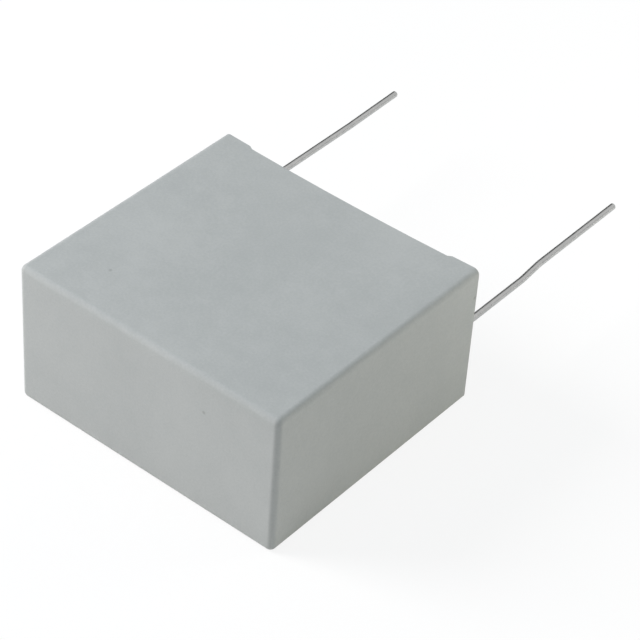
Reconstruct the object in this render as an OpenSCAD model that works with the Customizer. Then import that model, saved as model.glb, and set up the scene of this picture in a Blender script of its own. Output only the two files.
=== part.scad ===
// Box film capacitor, radial leads, lying on one of its large faces.
// The lead row runs along X, the leads leave towards +Y and the box is flat along Z.
// The origin is the centre of the large face that it lies on.

/* [Case] */
// Height of the box, closed end to the tips of its feet
case_h = 38.1; // [25:0.1:60]
// Thickness of the box, across its two large faces
case_t = 21.2; // [14:0.1:33]
// Thickness of the four side walls
wall = 1.2; // [0.8:0.1:2]
// Thickness of the closed end
end_wall = 1.3; // [0.8:0.1:2.5]
// Radius of the four long edges, which run towards the leads
side_edge_r = 0.85; // [0.6:0.05:3]
// Radius of the edges round the closed end, at most 95% of the long edges' radius
end_edge_r = 0.8; // [0.4:0.05:1.5]
// Radius of the upright corners of the pocket
pocket_corner_r = 0.5; // [0.2:0.1:1.5]
// Inward bow of the upper large wall at the middle of its open rim
wall_bow = 0.4; // [0.1:0.05:0.6]
// Distance from the closed end at which that wall begins to bow
bow_start = 6; // [2:0.5:15]

/* [Stand-off feet] */
// Height of the two feet above the rim of the large walls; each takes in a whole end wall
foot_h = 0.35; // [0.2:0.05:2]
// How far each foot runs on along the large walls, from the end of the box
foot_len = 4.2; // [2:0.1:6]
// Length of the ramp from the top of a foot down to the rim
foot_ramp = 0.6; // [0.2:0.1:1.5]

/* [Leads] */
// Spacing of the two leads, centre to centre
lead_pitch = 37.5; // [22.5:0.5:52.5]
// Diameter of the wire over its tin
lead_d = 0.9; // [0.6:0.05:1.2]
// Thickness of the tin, which covers the wire beyond the feet
tin_t = 0.025; // [0.01:0.005:0.05]
// Length over which the tin thins out to nothing, ending at the feet
tin_taper = 0.8; // [0.6:0.05:1]
// Length of wire beyond the feet
lead_len = 34.8; // [26:0.1:45]
// Distance from the wire's inner end to the closed-end side of the winding
weld_end_gap = 9; // [2:0.5:20]
// How far the wire is sunk into the sprayed metal
weld_depth = 0.3; // [0.1:0.05:0.4]
// Rounding of the sheared tip of each wire
tip_r = 0.2; // [0.05:0.05:0.3]
// Resin between each wire and the end wall of the case
lead_cover = 0.35; // [0.2:0.05:1]
// Straight stretch of the right lead, from the feet to its kink
kink_at = 13; // [6:0.1:18]
// Length of the slanted stretch of the kink
kink_len = 3.2; // [1:0.1:5]
// Slant of the kinked stretch, towards the left lead
kink_angle = 4.6; // [1:0.1:15]
// Straight stretch of the left lead, from the feet to its slight bend
lean_at = 24; // [12:0.5:28]
// Angle by which the left lead then leans outward
lean_angle = 1.4; // [0.5:0.1:6]
// Radius of the wire's centre line in its bends
bend_r = 12; // [4:1:30]

/* [Potting resin] */
// Depth of the resin surface below the rim
resin_recess = 0.9; // [0.5:0.1:3]
// Radius of the meniscus along the walls
meniscus_r = 0.6; // [0.2:0.1:1]
// Width of the meniscus where it ends on a wall
meniscus_lip = 0.12; // [0.05:0.01:0.3]
// Radius of the resin fillet round each wire
collar_r = 0.5; // [0.2:0.1:1]

/* [Winding] */
// Resin over the winding on the lead side
lead_side_cover = 3.2; // [1:0.1:6]
// Gap between the winding and the closed end
closed_end_gap = 0.8; // [0.3:0.1:3]
// Gap between the winding and each large wall
flat_side_gap = 0.6; // [0.3:0.1:3]
// Thickness of the sprayed metal on each end of the winding
spray_t = 0.8; // [0.4:0.1:1.5]

/* [Hidden] */

$fn = 96;
// Facets round the very shallow cylinder of the bowed wall
BOW_FN = 1440;
// Overshoot of cutting shapes past the faces that they cut
CUT = 1;
// How far the resin fillet round a wire dips under the resin surface
COLLAR_DIP = 0.06;
// How much thinner the wire is drawn in its bends, and how far they reach into the straights
BEND_NECK = 0.002;
BEND_LAP = 0.05;

LEFT = -1;
RIGHT = 1;

lead_r = lead_d / 2;
core_r = lead_r - tin_t;
lead_x = lead_pitch / 2;
case_l = lead_pitch + lead_d + 2 * (lead_cover + wall);

rim_z = case_h - foot_h;
pocket_l = case_l - 2 * wall;
pocket_t = case_t - 2 * wall;

resin_z = rim_z - resin_recess;

roll_z0 = end_wall + closed_end_gap;
roll_z1 = resin_z - lead_side_cover;
roll_h = roll_z1 - roll_z0;
roll_t = pocket_t - 2 * flat_side_gap;
contact_x = lead_x - core_r + weld_depth;
roll_l = 2 * (contact_x - spray_t);

weld_z0 = roll_z0 + weld_end_gap;

// Straight wire left over between the last bend and the tip
left_tip_l = lead_len - lean_at - bend_l(lean_angle);
right_tip_l = lead_len - kink_at - kink_len - 2 * bend_l(kink_angle);

// Radius of the shallow cylinder that the bowed wall follows at the rim
bow_chord = case_l - 2 * side_edge_r;
bow_r = (pow(bow_chord / 2, 2) + pow(wall_bow, 2)) / (2 * wall_bow);

// Length of wire in a bend of a degrees
function bend_l(a) = bend_r * a * PI / 180;

// Turns what is built standing on its closed end so that it lies on a large face
module lay_flat() {
    translate([0, -case_h / 2, case_t / 2])
        rotate([-90, 0, 0])
            children();
}

module rounded_rect(l, w, r) {
    square([l - 2 * r, w], center = true);
    square([l, w - 2 * r], center = true);
    for (x = [-1, 1], y = [-1, 1])
        translate([x * (l / 2 - r), y * (w / 2 - r)])
            circle(r);
}

// A w by h rectangle standing on the origin, with its two lower corners rounded
module tub_profile(w, h, r) {
    translate([-w / 2, r])
        square([w, h - r]);
    translate([-w / 2 + r, 0])
        square([w - 2 * r, r]);
    for (x = [-1, 1])
        translate([x * (w / 2 - r), r])
            circle(r);
}

// Block standing on z = 0 with upright edges of radius side_r and bottom edges of radius bottom_r,
// which is held below side_r
module tub_block(l, w, h, side_r, bottom_r) {
    end_r = min(bottom_r, 0.95 * side_r);
    rotate([90, 0, 90])
        linear_extrude(l - 2 * side_r, center = true)
            tub_profile(w, h, end_r);
    rotate([90, 0, 0])
        linear_extrude(w - 2 * side_r, center = true)
            tub_profile(l, h, end_r);
    for (x = [-1, 1], y = [-1, 1])
        translate([x * (l / 2 - side_r), y * (w / 2 - side_r), 0])
            rotate_extrude()
                intersection() {
                    tub_profile(2 * side_r, h, end_r);
                    square([side_r, h]);
                }
}

// Space above the rim of the large walls between the two feet, with a ramp up to each foot
module rim_relief() {
    half = case_l / 2 - foot_len;
    rotate([90, 0, 0])
        linear_extrude(case_t + CUT, center = true)
            polygon([
                [foot_ramp - half, 0],
                [half - foot_ramp, 0],
                [half, foot_h],
                [half, foot_h + CUT],
                [-half, foot_h + CUT],
                [-half, foot_h]
            ]);
}

// Very shallow cylinder, level with the upper wall where the bow starts and sunk at the rim
module bow_cut() {
    tilt = atan(wall_bow / (rim_z - bow_start));
    translate([0, -case_t / 2, bow_start])
        rotate([-tilt, 0, 0])
            translate([0, -bow_r, -CUT])
                cylinder(r = bow_r, h = case_h - bow_start + 3 * CUT, $fn = BOW_FN);
}

// Inside of the case from its floor up to height z, with the bowed wall standing in it
module pocket(z) {
    difference() {
        translate([0, 0, end_wall])
            linear_extrude(z - end_wall)
                rounded_rect(pocket_l, pocket_t, pocket_corner_r);
        translate([0, wall, 0])
            bow_cut();
    }
}

module case_shell() {
    difference() {
        tub_block(case_l, case_t, case_h, side_edge_r, end_edge_r);
        pocket(case_h + CUT);
        translate([0, 0, rim_z])
            rim_relief();
        bow_cut();
    }
}

// Flattened roll outline, in the plane across the winding's axis
module roll_outline() {
    straight = roll_h - roll_t;
    square([roll_t, straight], center = true);
    for (y = [-1, 1])
        translate([0, y * straight / 2])
            circle(roll_t / 2);
}

// A slice of the flattened roll from x0 to x1
module roll_slice(x0, x1) {
    translate([x0, 0, (roll_z0 + roll_z1) / 2])
        rotate([90, 0, 90])
            linear_extrude(x1 - x0)
                roll_outline();
}

module winding() {
    roll_slice(-roll_l / 2, roll_l / 2);
}

// The sprayed metal layer, before the wire is sunk into it
module end_spray(side) {
    middle = side * (roll_l + spray_t) / 2;
    roll_slice(middle - spray_t / 2, middle + spray_t / 2);
}

// Bare wire from its weld up to the tin, which thickens until it ends at the feet
module buried_wire(side) {
    tin_z = case_h - tin_taper;
    translate([side * lead_x, 0, weld_z0])
        cylinder(r = core_r, h = tin_z - weld_z0);
    translate([side * lead_x, 0, tin_z])
        cylinder(r1 = core_r, r2 = lead_r, h = tin_taper);
}

// Straight wire from its weld to a point beyond the feet
module straight_wire(side, reach) {
    buried_wire(side);
    translate([side * lead_x, 0, case_h])
        cylinder(r = lead_r, h = reach);
}

// End of a wire that runs up from z = 0, with a rounded rim where it was sheared
module wire_tip(l) {
    rotate_extrude()
        intersection() {
            translate([0, l])
                mirror([0, 1])
                    tub_profile(2 * lead_r, l, tip_r);
            square([lead_r, l]);
        }
}

// Bend of the wire by a degrees towards +X; its children go on from the end of the bend
module wire_bend(a) {
    turn = sign(a);
    lap = asin(BEND_LAP / bend_r);
    start = (turn > 0 ? 180 : 0) + turn * lap;
    translate([turn * bend_r, 0, 0]) {
        rotate([90, 0, 0])
            rotate([0, 0, start])
                rotate_extrude(angle = -a - 2 * turn * lap)
                    translate([bend_r, 0])
                        circle(lead_r - BEND_NECK);
        rotate([0, a, 0])
            translate([-turn * bend_r, 0, 0])
                children();
    }
}

module end_contact(side) {
    difference() {
        end_spray(side);
        buried_wire(side);
    }
}

// Fillet of resin that climbs a wire, standing on the resin surface
module resin_collar(side) {
    outer = lead_r + meniscus_lip + collar_r;
    translate([side * lead_x, 0, resin_z - collar_r])
        rotate_extrude()
            difference() {
                square([outer, 2 * collar_r - COLLAR_DIP]);
                translate([outer, 2 * collar_r - COLLAR_DIP])
                    circle(collar_r);
            }
}

// Space over the resin: a dish whose edge is the meniscus, with a fillet left at each wire
module resin_dish() {
    difference() {
        translate([0, 0, resin_z])
            tub_block(pocket_l - 2 * meniscus_lip, pocket_t - 2 * meniscus_lip,
                      meniscus_r + CUT, meniscus_r + meniscus_lip, meniscus_r);
        resin_collar(LEFT);
        resin_collar(RIGHT);
    }
}

module resin_block() {
    difference() {
        pocket(resin_z + meniscus_r);
        resin_dish();
        winding();
        for (side = [LEFT, RIGHT]) {
            end_spray(side);
            buried_wire(side);
        }
    }
}

module case() {
    color("#b3b6b6")
        lay_flat()
            case_shell();
}

module potting_resin() {
    color("#8e9190")
        lay_flat()
            resin_block();
}

module film_winding() {
    color("#c9c2ae")
        lay_flat()
            winding();
}

module left_end_contact() {
    color("#a3a5a6")
        lay_flat()
            end_contact(LEFT);
}

module right_end_contact() {
    color("#a3a5a6")
        lay_flat()
            end_contact(RIGHT);
}

// Straight, then leaning slightly outward
module left_lead() {
    color("#c8c9c8")
        lay_flat() {
            straight_wire(LEFT, lean_at);
            translate([-lead_x, 0, case_h + lean_at])
                wire_bend(-lean_angle)
                    wire_tip(left_tip_l);
        }
}

// Straight, then kinked sideways, then straight again
module right_lead() {
    color("#c8c9c8")
        lay_flat() {
            straight_wire(RIGHT, kink_at);
            translate([lead_x, 0, case_h + kink_at])
                wire_bend(-kink_angle) {
                    cylinder(r = lead_r, h = kink_len);
                    translate([0, 0, kink_len])
                        wire_bend(kink_angle)
                            wire_tip(right_tip_l);
                }
        }
}

case();
potting_resin();
film_winding();
left_end_contact();
right_end_contact();
left_lead();
right_lead();
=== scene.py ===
import math

import bpy
from mathutils import Matrix, Vector


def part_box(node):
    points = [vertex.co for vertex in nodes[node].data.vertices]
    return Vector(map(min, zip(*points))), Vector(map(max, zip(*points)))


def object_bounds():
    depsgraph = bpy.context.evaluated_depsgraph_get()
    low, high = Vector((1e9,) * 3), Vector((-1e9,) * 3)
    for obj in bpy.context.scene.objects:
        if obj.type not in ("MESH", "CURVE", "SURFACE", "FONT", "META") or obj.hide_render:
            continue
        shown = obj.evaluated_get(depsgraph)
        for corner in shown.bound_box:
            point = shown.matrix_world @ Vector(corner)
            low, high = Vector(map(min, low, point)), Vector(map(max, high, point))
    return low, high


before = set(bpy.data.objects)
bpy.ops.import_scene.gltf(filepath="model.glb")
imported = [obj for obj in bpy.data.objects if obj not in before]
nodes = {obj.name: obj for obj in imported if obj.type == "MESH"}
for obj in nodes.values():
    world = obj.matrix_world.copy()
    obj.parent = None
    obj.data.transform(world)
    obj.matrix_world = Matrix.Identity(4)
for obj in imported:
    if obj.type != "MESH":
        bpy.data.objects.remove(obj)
cad_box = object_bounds()

CASE_LO, CASE_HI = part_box("case")
CASE_MID = (CASE_LO + CASE_HI) / 2

MM = 0.001


# ---------------------------------------------------------------- node helpers

class Graph:
    """Adds nodes to a material or world and wires them up."""

    def __init__(self, owner):
        owner.use_nodes = True
        self.tree = owner.node_tree
        self.tree.nodes.clear()

    def node(self, kind, **values):
        made = self.tree.nodes.new(kind)
        for name, value in values.items():
            setattr(made, name, value)
        return made

    def link(self, out, into):
        self.tree.links.new(out, into)

    def put(self, socket, value):
        """Feeds a socket from another one, or sets it to a constant."""
        if isinstance(value, bpy.types.NodeSocket):
            self.link(value, socket)
        else:
            socket.default_value = value

    def math(self, operation, a, b):
        made = self.node("ShaderNodeMath", operation=operation)
        self.put(made.inputs[0], a)
        self.put(made.inputs[1], b)
        return made.outputs[0]

    def ramp(self, value, low, high, to_low=0.0, to_high=1.0):
        """value from low..high mapped smoothly to to_low..to_high."""
        made = self.node("ShaderNodeMapRange", interpolation_type="SMOOTHSTEP")
        self.put(made.inputs[0], value)
        for i, number in enumerate((low, high, to_low, to_high), 1):
            made.inputs[i].default_value = number
        return made.outputs[0]

    def total(self, first, *rest):
        """Sum of value times weight over pairs of the two."""
        result = self.math("MULTIPLY", *first)
        for pair in rest:
            result = self.math("ADD", result, self.math("MULTIPLY", *pair))
        return result

    def mix(self, factor, a, b):
        """Colour between a and b; the node's colour sockets are 6 and 7 in and 2 out."""
        made = self.node("ShaderNodeMix", data_type="RGBA")
        self.put(made.inputs[0], factor)
        self.put(made.inputs[6], a)
        self.put(made.inputs[7], b)
        return made.outputs[2]

    def noise(self, place, scale, detail=3.0, rough=0.5):
        made = self.node("ShaderNodeTexNoise")
        self.put(made.inputs["Vector"], place)
        made.inputs["Scale"].default_value = scale
        made.inputs["Detail"].default_value = detail
        made.inputs["Roughness"].default_value = rough
        return made.outputs["Fac"]

    def cells(self, place, scale):
        made = self.node("ShaderNodeTexVoronoi")
        self.put(made.inputs["Vector"], place)
        made.inputs["Scale"].default_value = scale
        return made.outputs["Distance"]

    def stretched(self, place, scale):
        made = self.node("ShaderNodeMapping")
        self.put(made.inputs["Vector"], place)
        made.inputs["Scale"].default_value = scale
        return made.outputs[0]

    def background(self, strength, colour=None):
        made = self.node("ShaderNodeBackground")
        self.put(made.inputs["Strength"], strength)
        if colour is not None:
            self.put(made.inputs["Color"], colour)
        return made

    def mix_shader(self, factor, a, b):
        made = self.node("ShaderNodeMixShader")
        self.put(made.inputs[0], factor)
        self.link(a.outputs[0], made.inputs[1])
        self.link(b.outputs[0], made.inputs[2])
        return made

    def bump(self, height, strength, distance, under=None):
        made = self.node("ShaderNodeBump")
        made.inputs["Strength"].default_value = strength
        made.inputs["Distance"].default_value = distance
        self.put(made.inputs["Height"], height)
        if under is not None:
            self.link(under, made.inputs["Normal"])
        return made.outputs[0]


def rgb(r, g, b):
    return (r, g, b, 1.0)


def new_material(name):
    material = bpy.data.materials.new(name)
    graph = Graph(material)
    shader = graph.node("ShaderNodeBsdfPrincipled")
    out = graph.node("ShaderNodeOutputMaterial")
    graph.link(shader.outputs[0], out.inputs[0])
    place = graph.node("ShaderNodeTexCoord").outputs["Object"]
    return material, graph, shader, place


# ---------------------------------------------------------------- materials

def moulded_case():
    material, g, shader, place = new_material("moulded_case")
    # slow shade differences from mould flow, then fine fillers
    flow = g.noise(place, 70.0, 2.0)
    blotch = g.noise(place, 420.0, 3.0)
    filler = g.noise(place, 3200.0, 2.0, 0.6)
    shade = g.total((flow, 0.35), (blotch, 0.25), (filler, 0.4))
    colour = g.mix(g.ramp(shade, 0.3, 0.7), rgb(0.410, 0.431, 0.429), rgb(0.477, 0.495, 0.491))
    # a few small dark specks
    speck = g.cells(place, 260.0)
    lone = g.ramp(g.noise(place, 115.0, 1.0), 0.55, 0.61)
    dark = g.math("MULTIPLY", g.ramp(speck, 0.035, 0.09, 1.0, 0.0), lone)
    colour = g.mix(g.math("MULTIPLY", dark, 0.35), colour, rgb(0.16, 0.16, 0.155))
    g.link(colour, shader.inputs["Base Color"])
    g.link(g.ramp(blotch, 0.3, 0.7, 0.52, 0.66), shader.inputs["Roughness"])
    shader.inputs["IOR"].default_value = 1.5
    grain = g.bump(g.noise(place, 5200.0, 3.0, 0.65), 0.5, 0.03 * MM)
    ripple = g.bump(g.noise(place, 900.0, 2.0), 0.35, 0.04 * MM, grain)
    g.link(ripple, shader.inputs["Normal"])
    return material


def cast_resin():
    material, g, shader, place = new_material("cast_resin")
    cloud = g.noise(place, 160.0, 3.0)
    grain = g.noise(place, 2600.0, 2.0, 0.6)
    shade = g.total((cloud, 0.6), (grain, 0.4))
    g.link(g.mix(g.ramp(shade, 0.3, 0.7), rgb(0.255, 0.262, 0.256), rgb(0.325, 0.332, 0.322)),
           shader.inputs["Base Color"])
    g.link(g.ramp(cloud, 0.3, 0.7, 0.3, 0.46), shader.inputs["Roughness"])
    waves = g.bump(g.noise(place, 240.0, 1.0), 0.5, 0.12 * MM)
    pits = g.ramp(g.cells(place, 700.0), 0.04, 0.16)
    g.link(g.bump(pits, 0.3, 0.05 * MM, waves), shader.inputs["Normal"])
    return material


def tinned_wire():
    material, g, shader, place = new_material("tinned_wire")
    drawn = g.noise(g.stretched(place, (1.0, 0.02, 1.0)), 9000.0, 2.0, 0.6)
    dull = g.noise(place, 900.0, 3.0, 0.6)
    shade = g.total((drawn, 0.4), (dull, 0.6))
    g.link(g.mix(g.ramp(shade, 0.3, 0.7), rgb(0.50, 0.505, 0.50), rgb(0.61, 0.61, 0.60)),
           shader.inputs["Base Color"])
    shader.inputs["Metallic"].default_value = 1.0
    g.link(g.ramp(dull, 0.3, 0.7, 0.26, 0.4), shader.inputs["Roughness"])
    lines = g.bump(drawn, 0.3, 0.01 * MM)
    g.link(g.bump(dull, 0.35, 0.03 * MM, lines), shader.inputs["Normal"])
    return material


def wound_film():
    material, g, shader, place = new_material("wound_film")
    layers = g.noise(g.stretched(place, (0.02, 1.0, 1.0)), 7000.0, 2.0, 0.6)
    cloud = g.noise(place, 120.0, 2.0)
    shade = g.total((layers, 0.5), (cloud, 0.5))
    g.link(g.mix(g.ramp(shade, 0.3, 0.7), rgb(0.56, 0.53, 0.46), rgb(0.66, 0.63, 0.56)),
           shader.inputs["Base Color"])
    g.link(g.ramp(cloud, 0.3, 0.7, 0.2, 0.34), shader.inputs["Roughness"])
    g.link(g.bump(layers, 0.3, 0.02 * MM), shader.inputs["Normal"])
    return material


def sprayed_zinc():
    material, g, shader, place = new_material("sprayed_zinc")
    drops = g.cells(place, 3600.0)
    dull = g.noise(place, 800.0, 4.0, 0.6)
    g.link(g.mix(g.ramp(dull, 0.3, 0.7), rgb(0.34, 0.35, 0.36), rgb(0.50, 0.51, 0.52)),
           shader.inputs["Base Color"])
    shader.inputs["Metallic"].default_value = 1.0
    g.link(g.ramp(dull, 0.3, 0.7, 0.55, 0.75), shader.inputs["Roughness"])
    g.link(g.bump(drops, 0.6, 0.08 * MM), shader.inputs["Normal"])
    return material


def dress(name, material):
    """Gives a CAD node one material all over."""
    mesh = nodes[name].data
    mesh.materials.clear()
    mesh.materials.append(material)
    for face in mesh.polygons:
        face.material_index = 0


dress("case", moulded_case())
dress("potting_resin", cast_resin())
dress("film_winding", wound_film())
zinc = sprayed_zinc()
dress("left_end_contact", zinc)
dress("right_end_contact", zinc)
wire = tinned_wire()
dress("left_lead", wire)
dress("right_lead", wire)


# ---------------------------------------------------------------- floor and surroundings

FLOOR_HALF = 6.0
FLOOR_GAP = 0.01 * MM
# Distances over which the floor fades from taking shadows to plain white
FADE_FROM = 100 * MM
FADE_TO = 250 * MM
# Share of plain white in the floor as seen near the object, where the rest shows its shadow
NEAR_WHITE = 0.85
# Share of plain white in the floor as the object mirrors it
MIRRORED_WHITE = 0.2


def white_floor():
    corners = [(x * FLOOR_HALF, y * FLOOR_HALF, 0)
               for x, y in ((-1, -1), (1, -1), (1, 1), (-1, 1))]
    mesh = bpy.data.meshes.new("floor")
    mesh.from_pydata(corners, [], [(0, 1, 2, 3)])
    floor = bpy.data.objects.new("floor", mesh)
    floor.location.z = cad_box[0][2] - FLOOR_GAP
    bpy.context.scene.collection.objects.link(floor)
    material = bpy.data.materials.new("white_floor")
    g = Graph(material)
    paper = g.node("ShaderNodeBsdfDiffuse")
    place = g.node("ShaderNodeTexCoord").outputs["Object"]
    grain = g.noise(place, 900.0)
    path = g.node("ShaderNodeLightPath")
    seen = path.outputs["Is Camera Ray"]
    away = g.node("ShaderNodeVectorMath", operation="LENGTH")
    g.link(place, away.inputs[0])
    white = g.ramp(away.outputs["Value"], FADE_FROM, FADE_TO, NEAR_WHITE, 1.0)
    grey = g.mix(g.ramp(grain, 0.3, 0.7), rgb(0.80, 0.80, 0.80), rgb(0.82, 0.82, 0.82))
    g.link(g.mix(seen, grey, rgb(1.0, 1.0, 1.0)), paper.inputs["Color"])
    glow = g.node("ShaderNodeEmission")
    glow.inputs["Strength"].default_value = 1.0
    shiny = g.math("MULTIPLY", path.outputs["Is Glossy Ray"], MIRRORED_WHITE)
    glowing = g.math("MAXIMUM", g.math("MULTIPLY", seen, white), shiny)
    out = g.node("ShaderNodeOutputMaterial")
    g.link(g.mix_shader(glowing, paper, glow).outputs[0], out.inputs[0])
    mesh.materials.append(material)


LOW_LIGHT = rgb(1.0, 0.912, 0.722)
HIGH_LIGHT = rgb(0.845, 1.055, 1.235)
DOME_STRENGTH = 0.39
DARK_WALL = Vector((-0.79, 0.55, 0.05)).normalized()


def surroundings():
    """White all round as seen, a soft dome of light that is cooler overhead, and for
    reflections a white room with one dark wall behind the leads."""
    world = bpy.data.worlds.new("studio")
    bpy.context.scene.world = world
    g = Graph(world)
    direction = g.node("ShaderNodeTexCoord").outputs["Generated"]
    height = g.node("ShaderNodeSeparateXYZ")
    g.link(direction, height.inputs[0])
    overhead = g.ramp(height.outputs["Z"], 0.2, 0.9)
    dome = g.background(DOME_STRENGTH, g.mix(overhead, LOW_LIGHT, HIGH_LIGHT))
    toward = g.node("ShaderNodeVectorMath", operation="DOT_PRODUCT")
    g.link(direction, toward.inputs[0])
    toward.inputs[1].default_value = DARK_WALL
    wall = g.ramp(toward.outputs["Value"], 0.62, 0.88, 1.0, 0.06)
    ceiling = g.ramp(height.outputs["Z"], 0.0, 0.6, 0.75, 1.05)
    room = g.background(g.math("MULTIPLY", wall, ceiling))
    path = g.node("ShaderNodeLightPath")
    lit = g.mix_shader(path.outputs["Is Glossy Ray"], dome, room)
    seen = g.mix_shader(path.outputs["Is Camera Ray"], lit, g.background(1.0))
    out = g.node("ShaderNodeOutputWorld")
    g.link(seen.outputs[0], out.inputs[0])


def facing(position, target):
    """Rotation that turns an object's -Z from position to target."""
    return (target - position).to_track_quat("-Z", "Y")


def area_lamp(name, direction, distance, size, watts, colour):
    data = bpy.data.lights.new(name, "AREA")
    data.shape = "DISK"
    data.size = size
    data.energy = watts
    data.color = colour
    lamp = bpy.data.objects.new(name, data)
    lamp.location = CASE_MID + Vector(direction).normalized() * distance
    lamp.rotation_euler = facing(lamp.location, CASE_MID).to_euler()
    # wires reflect the world's white room, where a lamp would leave a hot spot
    lamp.visible_glossy = False
    bpy.context.scene.collection.objects.link(lamp)


# ---------------------------------------------------------------- camera

# The camera looks at AIM from DISTANCE away; its three angles are in degrees
AIM = Vector((6.192, 6.558, 12.409)) * MM
AZIMUTH = 36.955
ELEVATION = 40.009
ROLL = 4.190
DISTANCE = 317.159 * MM
LENS_MM = 142.99
SENSOR_MM = 36.0


def place_camera():
    azimuth, elevation = math.radians(AZIMUTH), math.radians(ELEVATION)
    back = Vector((math.sin(azimuth) * math.cos(elevation),
                   -math.cos(azimuth) * math.cos(elevation),
                   math.sin(elevation)))
    right = Vector((0, 0, 1)).cross(back).normalized()
    up = back.cross(right)
    level = Matrix((right, up, back)).transposed()
    turned = level @ Matrix.Rotation(math.radians(ROLL), 3, "Z")
    data = bpy.data.cameras.new("camera")
    data.sensor_width = SENSOR_MM
    data.lens = LENS_MM
    data.clip_start = 0.01
    data.clip_end = 50.0
    camera = bpy.data.objects.new("camera", data)
    camera.matrix_world = Matrix.Translation(AIM + back * DISTANCE) @ turned.to_4x4()
    bpy.context.scene.collection.objects.link(camera)
    bpy.context.scene.camera = camera


white_floor()
surroundings()
area_lamp("key", direction=(-0.69, -0.40, 0.60), distance=0.5, size=0.25, watts=2.46,
          colour=(0.99, 0.955, 0.955))
area_lamp("side", direction=(0.60, 0.78, 0.12), distance=0.18, size=0.12, watts=0.18,
          colour=(0.99, 0.93, 0.82))
place_camera()
bpy.context.scene.view_settings.view_transform = "Standard"
